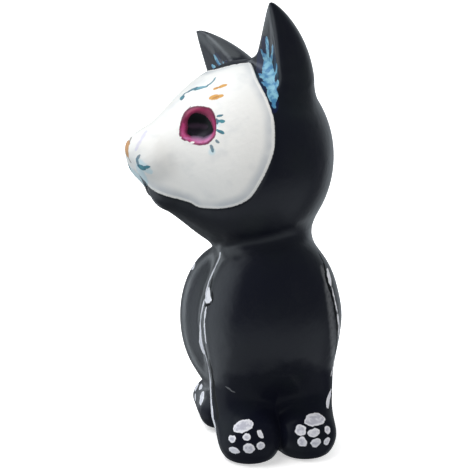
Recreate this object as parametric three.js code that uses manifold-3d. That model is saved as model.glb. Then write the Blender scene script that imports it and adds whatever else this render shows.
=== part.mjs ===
// A cat that sits upright on its hind legs, cast in one piece: the body faces -Y, the head is turned to the
// cat's right and tilted, and the tail lies round the left hip. The cat's left side is +X.
// Millimetres, +Z up. The origin is on the flat underside, midway between the haunches.
import * as THREE from "three";
import { mergeVertices } from "three/addons/utils/BufferGeometryUtils.js";
import Module from "manifold-3d";

// Driving dimensions
const FIGURE_HEIGHT = 132; // floor to the tip of the left ear
const HEAD_TURN = 77; // degrees, from the way the chest faces towards the cat's right
const HEAD_LIFT = 6.5; // degrees that the nose is raised
const HEAD_TILT = 15; // degrees that the left ear is raised above the right one

// All proportions below are hundredths of the figure's height, and this turns them into millimetres.
const share = (part) => (part * FIGURE_HEIGHT) / 100;
const at = (x, y, z) => new THREE.Vector3(share(x), share(y), share(z));

// The body's own axes: x to the cat's left, y to its back, z up. Limbs are given on the left and mirrored.
const BACK = {
  hip: at(0, 6.3, 15.8),
  hipRadius: share(13.7),
  nape: at(0, 1, 43.6),
  napeRadius: share(9.1),
};
const CHEST = { centre: at(0, -8.2, 31.8), radii: at(15.4, 12.4, 19.1) };
const LEG = {
  elbow: at(7.1, -7.9, 29.1),
  elbowRadius: share(7.3),
  wrist: at(7.4, -8.8, 8.6),
  wristRadius: share(6.6),
};
const LEG_WEB = { top: at(0, -6.1, 25.7), foot: at(0, -6.6, 4), radius: share(6.9) };
const PAW = { centre: at(6.4, -14.7, 4.5), radii: at(7.1, 6.7, 6.6) };
const HAUNCH = { centre: at(7, 5, 26.5), radii: at(11.4, 14.4, 17.5) };
const SEAT = { centre: at(0, 7.5, 5.5), radii: at(13.2, 13.4, 9) };
const HIND_PAW = { heel: at(10.4, 13, 4.2), toe: at(10.7, 2.6, 4.2), radius: share(3.9) };
const NECK = {
  foot: at(0, 0, 42.8),
  footRadius: share(10.2),
  top: at(-0.7, 1, 54.8),
  topRadius: share(11),
};
const TAIL = {
  root: at(0, 16.5, 9),
  rootRadius: share(3.6),
  tip: at(13.9, 13.5, 2.4),
  tipRadius: share(2.3),
  bow: at(9, 24.5, 2.6), // the point that the tail's curve is drawn towards
  steps: 6,
};

// The head's own axes: x forward to the nose, y to the cat's left, z up, from the middle of the skull.
const HEAD_CENTRE = at(-0.7, 1, 65.1);
const SKULL = { centre: at(2.7, 0, 0), radii: at(18.7, 18.9, 21.3) };
const MUZZLE = {
  root: at(6.5, 0, 1.3),
  rootRadius: share(10.7),
  end: at(26, 0, 0.3),
  endRadius: share(4.7),
};
const JAW = {
  root: at(10.1, 0, -7.7),
  rootRadius: share(8.2),
  chin: at(22.1, 0, -7.6),
  chinRadius: share(4.2),
};
const NOSE = { centre: at(29.1, 0, 1.1), radii: at(2.6, 2.9, 2.4) };
const SOCKET = { centre: at(21.1, 12.4, 6), radii: at(4.5, 4.5, 4.5) };
const CHEEK_PAD = { centre: at(26, 2.9, -1.6), radii: at(3.8, 3.3, 3.2) };
const EAR = {
  base: at(1.4, 10, 15.6),
  tip: at(7.5, 19.3, 31.3),
  halfWidth: share(7.9),
  halfDepth: share(8.9),
  bow: share(1.4), // how far the middle of the ear bows backwards
  taper: 0.72, // 1 is a straight cone, less is a fuller ear
  rootShare: 0.6, // how far the ear runs on below its base, as a share of its length
  opening: share(2.9), // from the ear's middle line forward to the plane of its opening
  openingTurn: 4, // degrees that the opening looks outward
  openingTilt: 7.6, // degrees that the opening looks up along the ear
  scoop: share(2.2), // depth of the hollow
};

// Radii over which neighbouring forms run into each other
const BLEND = {
  torso: share(4.3),
  legs: share(2.6),
  paw: share(3.4),
  haunch: share(2.1),
  hindPaw: share(2),
  tail: share(2),
};
const HEAD_BLEND = {
  muzzle: share(13.4),
  jaw: share(5),
  pad: share(3),
  nose: share(2.6),
  ear: share(2.6),
};
const EAR_RIM = share(2.2);
const SOCKET_RIM = share(0.6);
const HEAD_ON_BODY = share(3.2);

// The net of faces: its pitch across, and its pitch up in the body, the head and the ears
const PITCH_ACROSS = share(1.8);
const PITCH_UP = { body: share(2.6), head: share(1.9), ears: share(1.4) };
const HEAD_FROM = share(43);
const EARS_FROM = share(80);
const REACH = { low: at(-38, -27, -9), high: at(24, 29, 104) };
const JUST_INSIDE = share(0.05);

// How the net's vertices are brought onto the surface
const EVENING_ROUNDS = 3;
const SETTLE_STEPS = 4;
const SETTLE_PACE = 0.8;
const LEAST_STEEPNESS = 0.25;
const LONGEST_MOVE = share(0.4);
const FEEL = share(0.05);

// Fields: each is a function of a point, below zero inside the form and above zero outside it
const smoothMin = (a, b, radius) => {
  const overlap = Math.max(radius - Math.abs(a - b), 0) / radius;
  return Math.min(a, b) - (overlap * overlap * radius) / 4;
};
const smoothMax = (a, b, radius) => -smoothMin(-a, -b, radius);

const ellipsoid = ({ centre, radii }) => (point) => {
  const offset = point.clone().sub(centre).divide(radii);
  const steep = offset.clone().divide(radii).length();
  return steep === 0 ? -Math.min(radii.x, radii.y, radii.z) : (offset.length() * (offset.length() - 1)) / steep;
};

const taperedRod = (from, fromRadius, to, toRadius) => {
  const along = to.clone().sub(from);
  return (point) => {
    const offset = point.clone().sub(from);
    const way = THREE.MathUtils.clamp(offset.dot(along) / along.lengthSq(), 0, 1);
    return offset.addScaledVector(along, -way).length() - THREE.MathUtils.lerp(fromRadius, toRadius, way);
  };
};

const mirrored = (field, axis) => (point) => {
  const folded = point.clone();
  folded[axis] = Math.abs(folded[axis]);
  return field(folded);
};

function tailField() {
  const route = new THREE.QuadraticBezierCurve3(TAIL.root, TAIL.bow, TAIL.tip);
  const stations = route.getPoints(TAIL.steps);
  const radiusAt = (step) => THREE.MathUtils.lerp(TAIL.rootRadius, TAIL.tipRadius, step / TAIL.steps);
  const rods = stations.slice(1).map((to, step) => {
    return taperedRod(stations[step], radiusAt(step), to, radiusAt(step + 1));
  });
  return (point) => Math.min(...rods.map((rod) => rod(point)));
}

function bodyField() {
  const back = taperedRod(BACK.hip, BACK.hipRadius, BACK.nape, BACK.napeRadius);
  const chest = ellipsoid(CHEST);
  const legs = mirrored(taperedRod(LEG.elbow, LEG.elbowRadius, LEG.wrist, LEG.wristRadius), "x");
  const web = taperedRod(LEG_WEB.top, LEG_WEB.radius, LEG_WEB.foot, LEG_WEB.radius);
  const paws = mirrored(ellipsoid(PAW), "x");
  const haunches = mirrored(ellipsoid(HAUNCH), "x");
  const seat = ellipsoid(SEAT);
  const hindPaws = mirrored(taperedRod(HIND_PAW.heel, HIND_PAW.radius, HIND_PAW.toe, HIND_PAW.radius), "x");
  const neck = taperedRod(NECK.foot, NECK.footRadius, NECK.top, NECK.topRadius);
  const tail = tailField();
  return (point) => {
    let depth = smoothMin(back(point), chest(point), BLEND.torso);
    depth = smoothMin(depth, legs(point), BLEND.torso);
    depth = smoothMin(depth, web(point), BLEND.legs);
    depth = smoothMin(depth, paws(point), BLEND.paw);
    depth = smoothMin(depth, seat(point), BLEND.legs);
    depth = smoothMin(depth, haunches(point), BLEND.haunch);
    depth = smoothMin(depth, hindPaws(point), BLEND.hindPaw);
    depth = smoothMin(depth, neck(point), BLEND.torso);
    return smoothMin(depth, tail(point), BLEND.tail);
  };
}

// The ear's axes: up along the ear, front the way its opening looks, and side across it
function earField() {
  const turn = THREE.MathUtils.degToRad(EAR.openingTurn);
  const tilt = THREE.MathUtils.degToRad(EAR.openingTilt);
  const length = EAR.tip.distanceTo(EAR.base);
  const up = EAR.tip.clone().sub(EAR.base).normalize();
  const front = new THREE.Vector3(Math.cos(turn), Math.sin(turn), 0);
  front.addScaledVector(up, -front.dot(up)).normalize();
  const side = up.clone().cross(front);
  return (point) => {
    const offset = point.clone().sub(EAR.base);
    const height = offset.dot(up) / length;
    const inside = THREE.MathUtils.clamp(height, 0, 1);
    const width = offset.dot(side) / EAR.halfWidth;
    const bowed = (offset.dot(front) + 4 * EAR.bow * inside * (1 - inside)) / EAR.halfDepth;
    const rootHeight = THREE.MathUtils.clamp(height / EAR.rootShare, -1, 0);
    const fullness = height > 0 ? (1 - inside) ** EAR.taper : Math.sqrt(1 - rootHeight * rootHeight);
    let depth = (Math.hypot(bowed, width) - fullness) * Math.min(EAR.halfWidth, EAR.halfDepth);
    const over = Math.max(height - 1, -EAR.rootShare - height, 0) * length;
    depth = over > 0 ? Math.hypot(Math.max(depth, 0), over) : depth;
    const hollow = fullness > 0 ? 1 - Math.min((width / fullness) ** 2, 1) : 0;
    const opening = EAR.opening - EAR.scoop * hollow * fullness;
    const ahead = offset.dot(front) * Math.cos(tilt) + offset.dot(up) * Math.sin(tilt);
    return smoothMax(depth, ahead - opening, EAR_RIM);
  };
}

function headField() {
  const skull = ellipsoid(SKULL);
  const muzzle = taperedRod(MUZZLE.root, MUZZLE.rootRadius, MUZZLE.end, MUZZLE.endRadius);
  const jaw = taperedRod(JAW.root, JAW.rootRadius, JAW.chin, JAW.chinRadius);
  const nose = ellipsoid(NOSE);
  const pads = mirrored(ellipsoid(CHEEK_PAD), "y");
  const ears = mirrored(earField(), "y");
  const sockets = mirrored(ellipsoid(SOCKET), "y");
  const turned = new THREE.Matrix4().makeRotationZ(-Math.PI / 2 - THREE.MathUtils.degToRad(HEAD_TURN));
  const lifted = new THREE.Matrix4().makeRotationY(-THREE.MathUtils.degToRad(HEAD_LIFT));
  const tilted = new THREE.Matrix4().makeRotationX(THREE.MathUtils.degToRad(HEAD_TILT));
  const toBody = turned.multiply(lifted).multiply(tilted).setPosition(HEAD_CENTRE);
  const toHead = toBody.clone().invert();
  return (bodyPoint) => {
    const point = bodyPoint.clone().applyMatrix4(toHead);
    let depth = smoothMin(skull(point), muzzle(point), HEAD_BLEND.muzzle);
    depth = smoothMin(depth, jaw(point), HEAD_BLEND.jaw);
    depth = smoothMin(depth, pads(point), HEAD_BLEND.pad);
    depth = smoothMin(depth, nose(point), HEAD_BLEND.nose);
    depth = smoothMin(depth, ears(point), HEAD_BLEND.ear);
    return smoothMax(depth, -sockets(point), SOCKET_RIM);
  };
}

function figureField() {
  const body = bodyField();
  const head = headField();
  return (point) => smoothMin(body(point), head(point), HEAD_ON_BODY);
}

// Grid planes from low to high, each pitch set by where the plane is
function planes(low, high, pitchAt) {
  const list = [low];
  while (list[list.length - 1] < high) list.push(list[list.length - 1] + pitchAt(list[list.length - 1]));
  return list;
}

// A gap narrower than a grid cell is closed: where two outside nodes face each other across a square of the
// grid with two inside ones, the nearer one to the surface is taken inside, until no such square is left.
function closeNarrowGaps(depths, counts, strides) {
  let open = true;
  while (open) {
    open = false;
    for (let k = 0; k < counts[2]; k += 1)
      for (let j = 0; j < counts[1]; j += 1)
        for (let i = 0; i < counts[0]; i += 1)
          for (let axis = 0; axis < 3; axis += 1) {
            const [u, v] = [(axis + 1) % 3, (axis + 2) % 3];
            const place = [i, j, k];
            if (place[u] + 1 >= counts[u] || place[v] + 1 >= counts[v]) continue;
            const node = i * strides[0] + j * strides[1] + k * strides[2];
            const square = [node, node + strides[u], node + strides[u] + strides[v], node + strides[v]];
            const inside = square.map((corner) => depths[corner] < 0);
            if (inside[0] !== inside[2] || inside[1] !== inside[3] || inside[0] === inside[1]) continue;
            const [p, q] = inside[0] ? [square[1], square[3]] : [square[0], square[2]];
            depths[depths[p] < depths[q] ? p : q] = -JUST_INSIDE;
            open = true;
          }
  }
}

// One vertex in each grid cell that the surface crosses, and one quad round each grid edge that it crosses
function surfaceNet(field, xs, ys, zs) {
  const counts = [xs.length, ys.length, zs.length];
  const strides = [1, counts[0], counts[0] * counts[1]];
  const nodeAt = (i, j, k) => i * strides[0] + j * strides[1] + k * strides[2];
  const depths = new Float64Array(strides[2] * counts[2]);
  const point = new THREE.Vector3();
  for (let k = 0; k < counts[2]; k += 1)
    for (let j = 0; j < counts[1]; j += 1)
      for (let i = 0; i < counts[0]; i += 1) depths[nodeAt(i, j, k)] = field(point.set(xs[i], ys[j], zs[k]));
  closeNarrowGaps(depths, counts, strides);

  const corners = [0, 1, 2, 3, 4, 5, 6, 7].map((bits) => [bits & 1, (bits >> 1) & 1, (bits >> 2) & 1]);
  const edges = [];
  for (let a = 0; a < 8; a += 1) for (const bit of [1, 2, 4]) if (!(a & bit)) edges.push([a, a | bit]);

  const vertexOf = new Map();
  const vertices = [];
  for (let k = 0; k + 1 < counts[2]; k += 1)
    for (let j = 0; j + 1 < counts[1]; j += 1)
      for (let i = 0; i + 1 < counts[0]; i += 1) {
        const cell = corners.map(([a, b, c]) => depths[nodeAt(i + a, j + b, k + c)]);
        const crossed = edges.filter(([a, b]) => cell[a] < 0 !== cell[b] < 0);
        if (crossed.length === 0) continue;
        const sum = new THREE.Vector3();
        for (const [a, b] of crossed) {
          const way = cell[a] / (cell[a] - cell[b]);
          const [from, to] = [corners[a], corners[b]].map(([p, q, r]) => {
            return new THREE.Vector3(xs[i + p], ys[j + q], zs[k + r]);
          });
          sum.add(from.lerp(to, way));
        }
        vertexOf.set(nodeAt(i, j, k), vertices.length);
        vertices.push(sum.divideScalar(crossed.length));
      }

  const faces = [];
  for (let k = 1; k + 1 < counts[2]; k += 1)
    for (let j = 1; j + 1 < counts[1]; j += 1)
      for (let i = 1; i + 1 < counts[0]; i += 1)
        for (let axis = 0; axis < 3; axis += 1) {
          const node = nodeAt(i, j, k);
          const inside = depths[node] < 0;
          if (inside === depths[node + strides[axis]] < 0) continue;
          const [u, v] = [strides[(axis + 1) % 3], strides[(axis + 2) % 3]];
          const ring = [node - u - v, node - v, node, node - u].map((cell) => vertexOf.get(cell));
          if (!inside) ring.reverse();
          faces.push([ring[0], ring[1], ring[2]], [ring[0], ring[2], ring[3]]);
        }
  return { vertices, faces };
}

// Moves each vertex along the field's slope until it lies on the surface
function settle(field, vertices) {
  const slopeAt = (point, axis) => {
    const ahead = point.clone();
    const behind = point.clone();
    ahead[axis] += FEEL;
    behind[axis] -= FEEL;
    return (field(ahead) - field(behind)) / (2 * FEEL);
  };
  for (const vertex of vertices)
    for (let step = 0; step < SETTLE_STEPS; step += 1) {
      const slope = new THREE.Vector3(slopeAt(vertex, "x"), slopeAt(vertex, "y"), slopeAt(vertex, "z"));
      const steepness = Math.max(slope.lengthSq(), LEAST_STEEPNESS);
      const move = slope.multiplyScalar((-SETTLE_PACE * field(vertex)) / steepness);
      vertex.add(move.clampLength(0, LONGEST_MOVE));
    }
}

// Draws each vertex halfway to the middle of its neighbours, which evens out the faces
function relax({ vertices, faces }) {
  const neighbours = vertices.map(() => new Set());
  for (const [a, b, c] of faces) {
    neighbours[a].add(b).add(c);
    neighbours[b].add(a).add(c);
    neighbours[c].add(a).add(b);
  }
  const middles = neighbours.map((set) => {
    const sum = new THREE.Vector3();
    for (const other of set) sum.add(vertices[other]);
    return sum.divideScalar(set.size);
  });
  vertices.forEach((vertex, index) => vertex.lerp(middles[index], 0.5));
}

// The cast figure, cut off flat where it stands
async function castGeometry() {
  const wasm = await Module();
  wasm.setup();
  const solidOf = (positions, triangles) => {
    const vertProperties = new Float32Array(positions);
    const triVerts = new Uint32Array(triangles);
    return new wasm.Manifold(new wasm.Mesh({ numProp: 3, vertProperties, triVerts }));
  };

  const field = figureField();
  const pitchUpAt = (z) => {
    if (z < HEAD_FROM) return PITCH_UP.body;
    return z < EARS_FROM ? PITCH_UP.head : PITCH_UP.ears;
  };
  const xs = planes(REACH.low.x, REACH.high.x, () => PITCH_ACROSS);
  const ys = planes(REACH.low.y, REACH.high.y, () => PITCH_ACROSS);
  const zs = planes(REACH.low.z, REACH.high.z, pitchUpAt);
  const net = surfaceNet(field, xs, ys, zs);
  for (let round = 0; round < EVENING_ROUNDS; round += 1) {
    relax(net);
    settle(field, net.vertices);
  }
  const whole = solidOf(
    net.vertices.flatMap((vertex) => vertex.toArray()),
    net.faces.flat(),
  );

  let below = new THREE.BoxGeometry(2 * FIGURE_HEIGHT, 2 * FIGURE_HEIGHT, FIGURE_HEIGHT);
  below.translate(0, 0, -FIGURE_HEIGHT / 2);
  below.deleteAttribute("normal");
  below.deleteAttribute("uv");
  below = mergeVertices(below);
  const floor = solidOf(below.attributes.position.array, below.index.array);

  const mesh = whole.subtract(floor).getMesh();
  const geometry = new THREE.BufferGeometry();
  geometry.setAttribute("position", new THREE.BufferAttribute(mesh.vertProperties, mesh.numProp));
  geometry.setIndex(new THREE.BufferAttribute(mesh.triVerts, 1));
  geometry.computeVertexNormals();
  return geometry;
}

const paintedResin = new THREE.MeshStandardMaterial({ color: 0x15171c, roughness: 0.35, metalness: 0 });
const cat = new THREE.Mesh(await castGeometry(), paintedResin);
cat.name = "seated_cat";

const figure = new THREE.Group();
figure.add(cat);

export default figure;
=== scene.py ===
"""Looks of a seated cat figure, cast in resin and painted by hand: glossy black all over, with a white
sugar-skull face and white bones. The body faces -Y, the cat's left is +X, and the head is turned to its
right.

The figure's own form is a field, below zero inside it, with the same sizes as the cast's solid. It is
meshed finely here, and the mesh gets the painted face's edge and the paint.
"""

import math

import bpy
import numpy as np
from mathutils import Matrix, Vector


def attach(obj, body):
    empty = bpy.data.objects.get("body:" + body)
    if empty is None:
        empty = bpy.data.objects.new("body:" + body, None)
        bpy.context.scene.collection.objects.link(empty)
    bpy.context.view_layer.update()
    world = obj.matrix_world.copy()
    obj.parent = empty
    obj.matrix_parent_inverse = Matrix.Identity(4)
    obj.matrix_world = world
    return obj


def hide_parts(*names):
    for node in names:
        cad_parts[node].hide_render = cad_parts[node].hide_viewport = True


# Driving dimensions. All other sizes and places are shares: hundredths of the figure's height.
FIGURE_HEIGHT = 0.132  # metres, floor to the tip of the left ear
SHARE = FIGURE_HEIGHT / 100
HEAD_TURN = math.radians(77)
HEAD_LIFT = math.radians(6.5)
HEAD_TILT = math.radians(15)

# The body's axes: x to the cat's left, y to its back, z up. Limbs are given on the left and mirrored.
BACK = {"start": (0, 6.3, 15.8), "start_radius": 13.7, "end": (0, 1, 43.6), "end_radius": 9.1}
CHEST = {"centre": (0, -8.2, 31.8), "radii": (15.4, 12.4, 19.1)}
LEG = {"start": (7.1, -7.9, 29.1), "start_radius": 7.3, "end": (7.4, -8.8, 8.6), "end_radius": 6.6}
LEG_WEB = {"start": (0, -6.1, 25.7), "start_radius": 6.9, "end": (0, -6.6, 4), "end_radius": 6.9}
PAW = {"centre": (6.4, -14.7, 4.5), "radii": (7.1, 6.7, 6.6)}
HAUNCH = {"centre": (7, 5, 26.5), "radii": (11.4, 14.4, 17.5)}
SEAT = {"centre": (0, 7.5, 5.5), "radii": (13.2, 13.4, 9)}
HIND_PAW = {"start": (10.4, 13, 4.2), "start_radius": 3.9, "end": (10.7, 2.6, 4.2), "end_radius": 3.9}
NECK = {"start": (0, 0, 42.8), "start_radius": 10.2, "end": (-0.7, 1, 54.8), "end_radius": 11}
TAIL = {
    "root": (0, 16.5, 9),
    "bow": (9, 24.5, 2.6),
    "tip": (13.9, 13.5, 2.4),
    "radii": (3.6, 2.3),
    "steps": 6,
}

# The head's axes: x forward to the nose, y to the cat's left, z up, from the middle of the skull
HEAD_CENTRE = (-0.7, 1, 65.1)
SKULL = {"centre": (2.7, 0, 0), "radii": (18.7, 18.9, 21.3)}
MUZZLE = {"start": (6.5, 0, 1.3), "start_radius": 10.7, "end": (26, 0, 0.3), "end_radius": 4.7}
JAW = {"start": (10.1, 0, -7.7), "start_radius": 8.2, "end": (22.1, 0, -7.6), "end_radius": 4.2}
CHEEK_PAD = {"centre": (26, 2.9, -1.6), "radii": (3.8, 3.3, 3.2)}
NOSE = {"centre": (29.1, 0, 1.1), "radii": (2.6, 2.9, 2.4)}
SOCKET = {"centre": (21.1, 12.4, 6), "radii": (4.5, 4.5, 4.5)}
EAR_BASE = np.array((1.4, 10, 15.6))
EAR_TIP = np.array((7.5, 19.3, 31.3))
EAR_HALF_WIDTH = 7.9
EAR_HALF_DEPTH = 8.9
EAR_BOW = 1.4  # how far the middle of the ear bows backwards
EAR_TAPER = 0.72  # 1 is a straight cone, less is a fuller ear
EAR_ROOT_SHARE = 0.6  # how far the ear runs on below its base, as a share of its length
EAR_OPENING = 2.9  # from the ear's middle line forward to the plane of its opening
EAR_OPENING_TURN = math.radians(4)
EAR_OPENING_TILT = math.radians(7.6)
EAR_SCOOP = 2.2  # depth of the hollow

# Radii over which neighbouring forms run into each other
TORSO_BLEND = 4.3
LEG_BLEND = 2.6
PAW_BLEND = 3.4
HAUNCH_BLEND = 2.1
HIND_PAW_BLEND = 2
TAIL_BLEND = 2
MUZZLE_BLEND = 13.4
JAW_BLEND = 5
PAD_BLEND = 3
NOSE_BLEND = 2.6
EAR_BLEND = 2.6
EAR_RIM = 2.2
SOCKET_RIM = 0.6
HEAD_ON_BODY = 3.2
UNDERSIDE_EDGE = 0.8

# The mesh: the grid's reach, its pitch, and how vertices are brought onto the form
GRID_LOW = (-35, -24, -2)
GRID_HIGH = (21, 29, 102)
HEAD_FROM = 43  # the height above which the grid has the head's pitch upwards
FINE_PITCH = {"across": 0.4, "body_up": 0.84, "head_up": 0.4}
COARSE_STRIDE = 4  # grid planes from one coarse reading of the field to the next
EVENING_ROUNDS = 2
SETTLE_STEPS = 3
SETTLE_PACE = 0.9
LEAST_STEEPNESS = 0.25
LONGEST_MOVE = 0.3
FEEL = 0.05  # how far to either side the field is read to find its slope
TINY = 1e-9  # keeps a divisor from being nothing
FAR_OFF = 99.0  # stands for the distance from the face's edge of all that isn't on the head

# The painted face's left edge, crown to chin: degrees to the left and up, seen from the skull's middle
FACE_EDGE = (
    (0, 56), (16, 56), (32, 61), (44, 63.5), (51, 64.5), (57, 57), (62, 45), (66, 37),
    (69, 30), (72, 19), (72.3, 8), (71.5, -1), (68.5, -10), (64, -19), (57.5, -28), (49, -32.5),
    (38, -34), (29, -33.2), (21, -31), (17.5, -27.3), (14, -24.8), (9, -20.5), (4, -16.5), (0, -13),
)
GROOVE_DEPTH = 0.62  # how far the black ground lies below the face's edge
GROOVE_RISE = 0.25  # outside the edge, about as far as it takes the groove to reach its depth
GROOVE_FADE = 2.2  # and to run out again
EDGE_SNAP = 0.2  # vertices nearer to the edge than this are drawn onto it

# The left eye: its middle, the way it faces, and its outlines, as points back and up from that middle
EYE_MIDDLE = np.array((19.95, 10.69, 5.21))
EYE_FACING = np.array((0.663, 0.695, 0.28))
EYE_REACH = 8  # further off than this no outline of the eye is looked for
EYE_RING = (
    (-4.2, -1), (-4.15, 1.6), (-3.6, 3.7), (-2.3, 4.75), (-0.2, 4.8), (2.2, 4.1), (3.1, 3.1), (3.6, 1.8),
    (4, -0.7), (3.9, -2.4), (2.4, -3.95), (0.9, -4.25), (-0.9, -4), (-2.7, -3.35), (-3.9, -2.4),
)
EYE_INSIDE = (
    (-2.7, -1.2), (-2.75, 0), (-2.8, 1.4), (-2.1, 2.9), (-0.8, 3.35), (0.8, 2.9), (1.9, 1.8), (2.65, 0.4),
    (2.95, -0.8), (2.3, -1.9), (1.1, -2.4), (-0.3, -2.05), (-1.7, -1.95),
)
OUTLINE_STEPS = 4  # a curve's points from each point of an outline to the next
PAINT_THICKNESS = 0.00012  # metres, for a coat of 1
LONGEST_TOUCH = 4  # a longer brush stroke is laid in several touches, so that it follows the form
TOUCH_STEPS = 8


# Brush strokes: each is its start, its end and its half width

def dot(point, half_width):
    return (point, point, half_width)


def chain(points, half_widths):
    """Strokes from each point to the next."""
    return [(points[i], points[i + 1], half_widths[i]) for i in range(len(points) - 1)]


# Strokes on the head, in its axes, on the left side and mirrored
SKY_EAR = [
    ((5, 13.4, 24.1), (3.9, 11.4, 20.6), 0.62),
    ((4.6, 9.7, 22.1), (4.8, 11.4, 17.6), 0.55),
    ((4.6, 15.4, 22.3), (3.6, 12.2, 19.4), 0.5),
    ((3.8, 10.8, 20.1), (4.6, 13.6, 15.6), 1.45),
    ((4.2, 16, 18), (3.8, 13.6, 16.4), 0.62),
    ((5.8, 11.4, 17.2), (5.4, 13.2, 15.7), 0.55),
    ((6.2, 13.4, 15.1), (5.5, 14.4, 13.9), 0.5),
    ((4.5, 13.9, 15.3), (5.1, 16.6, 11), 1.15),
    ((3.9, 15.8, 14.7), (4.4, 15.8, 13.2), 0.6),
    ((5.1, 16.6, 10.9), (5.2, 17.5, 8.9), 0.55),
]
NAVY_EAR = [
    ((4.7, 12.2, 23.4), (3.9, 11, 19.2), 1.6),
    ((4.7, 8.6, 21.4), (4.8, 11, 17.4), 1.2),
    ((4.5, 15, 21), (3.9, 14.4, 17.4), 1.1),
    ((4.2, 12, 18), (5.2, 14.6, 13.6), 2),
    ((5, 15.8, 12.8), (5.5, 17.3, 8.8), 1.3),
]
ORANGE_PETALS = [
    ((15.4, 9.2, 13.5), (14.6, 9.8, 13.8), 0.36),
    ((14.6, 9.8, 13.8), (13.5, 10.4, 14.2), 0.46),
    ((16.4, 10.2, 11.4), (15.5, 11, 11.5), 0.7),
    ((15.5, 11, 11.5), (14.8, 11.5, 11.7), 0.44),
]
ORANGE_VEINS = [
    ((16.3, 10.4, 11.2), (15.3, 11.1, 11.5), 0.22),
    ((15.2, 9.3, 13.5), (14.3, 9.9, 13.9), 0.18),
]
TEAL_LASHES = [
    ((16.4, 12.9, 7.1), (15.7, 13.5, 7.3), 0.26),
    ((16.6, 12.9, 6.3), (16.5, 13.1, 5.8), 0.44),
    ((16.4, 13.2, 6.1), (15.6, 14, 5.9), 0.38),
    ((16.8, 13.6, 4.1), (15.9, 14.4, 3.5), 0.34),
]
GREY_LASHES = [
    ((17.2, 13.8, 1.9), (16.8, 14.1, 1.5), 0.26),
    ((18.1, 13.1, 0.8), (17.9, 13.4, -0.2), 0.36),
]
LASH_SHADES = [dot((18.1, 13.4, -0.4), 0.7), dot((16.8, 13.4, 5.2), 0.5)]
SCROLL = chain(
    [(14.1, 6.8, 16.2), (15.1, 7.3, 15), (16.3, 6.9, 14.2), (17.2, 5.7, 13.9), (17.9, 4.1, 13.9),
     (18.8, 2.9, 13.4), (19.3, 2.3, 13.1), (20, 2.4, 12.4)],
    [0.22, 0.26, 0.42, 0.58, 0.38, 0.24, 0.28],
) + [((20.1, 2.5, 12.3), (20.3, 3.2, 11.8), 0.6)]
SKY_SCROLL = [((16.5, 6.7, 14.3), (17.5, 5.2, 14.1), 0.3)]
NOSE_TIP = [((31.7, 0.6, 1.9), (31.9, 0, -0.6), 0.7), ((31.6, 0, 1.9), (31.6, 0.6, 1.9), 0.7)]
NOSE_EDGE = [((31, 0.6, 3.2), (31.5, 0.9, 2.3), 0.3), ((31.6, 0, -1.3), (31.4, 0, -2.1), 0.25)]
# Painted shade down the side of the nose bridge
NOSE_BRIDGE_SHADE = chain([(28.6, 2.8, 4.4), (30, 3.5, 2.5), (31.1, 3.1, 0.4)], [0.42, 0.38])
PALE_MOUTH = [((30, 2.4, -3.4), (28.2, 0.6, -6), 1.4), ((30.2, 3.2, -2), (28.8, 4.6, -4.2), 1)]
LIP_LINE = chain([(30.6, 3.7, -0.9), (30.8, 2.9, -1.7), (30.4, 2.7, -2.8)], [0.36, 0.42])
TEAL_LIP = [((30.2, 2.8, -3.1), (29.6, 3.8, -3.5), 0.62), ((29.6, 3.8, -3.4), (28.9, 5, -3.2), 0.36)]
LIP_SHADE = chain([(29, -0.2, -4.9), (28.3, 0, -5.7), (27.7, 0.6, -6.8)], [0.42, 0.5])
EYE_LINE = chain([(21.9, 7.8, 6.2), (21.3, 7.3, 8.2), (20.3, 7.3, 9.5)], [0.42, 0.3])
# Painted reflection: soft plum streaks across the middle of the pupil
EYE_REFLECTION_STREAKS = [((20.6, 8, 5.4), (18.9, 8.8, 5.5), 0.5), ((18.9, 8.8, 5.5), (17.6, 9.8, 5.2), 0.4)]
# Painted light: a soft lilac-grey haze low in the eye
EYE_LOW_GLARE = chain([(20.3, 9.4, 2.8), (19, 11, 2.4), (17.9, 12, 3)], [0.75, 0.7])
# Painted highlights in white on the lower edge of the eye's ring
EYE_RING_GLINTS = [
    ((22.4, 9.3, 1.9), (21.8, 9.9, 1.5), 0.3),
    ((21.6, 10.1, 1.5), (20.9, 10.5, 1.7), 0.26),
    dot((23.1, 8.6, 2.8), 0.24),
]

# Strokes on the body, in its axes: those on the hind paws and haunches are mirrored
PAW_BONES = [
    ((-9.7, -18.8, 8.9), (-7.9, -18.9, 9.4), 1.45),
    dot((-11.3, -19.1, 6.4), 0.95),
    dot((-8.3, -20.5, 7.2), 0.85),
    ((-5.5, -20.3, 7.8), (-5.1, -20.5, 7.3), 0.66),
    ((-11.5, -19.5, 3.9), (-10.5, -20, 3.9), 0.75),
    dot((-8, -21.1, 4.7), 1.2),
    dot((-5.3, -21.3, 5.2), 0.95),
    ((6.5, -19.1, 9.2), (8.8, -18.9, 9.6), 1.5),
    dot((3.9, -20.2, 7.6), 1.25),
    ((6.2, -21, 7), (7.4, -20.9, 7.2), 0.9),
    dot((10.1, -19.7, 6.9), 0.92),
    dot((4.1, -21, 5.1), 1.1),
    ((6.9, -21.4, 4.7), (7.6, -21.3, 5), 0.95),
    dot((9.9, -20.4, 4.6), 0.95),
]
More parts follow.
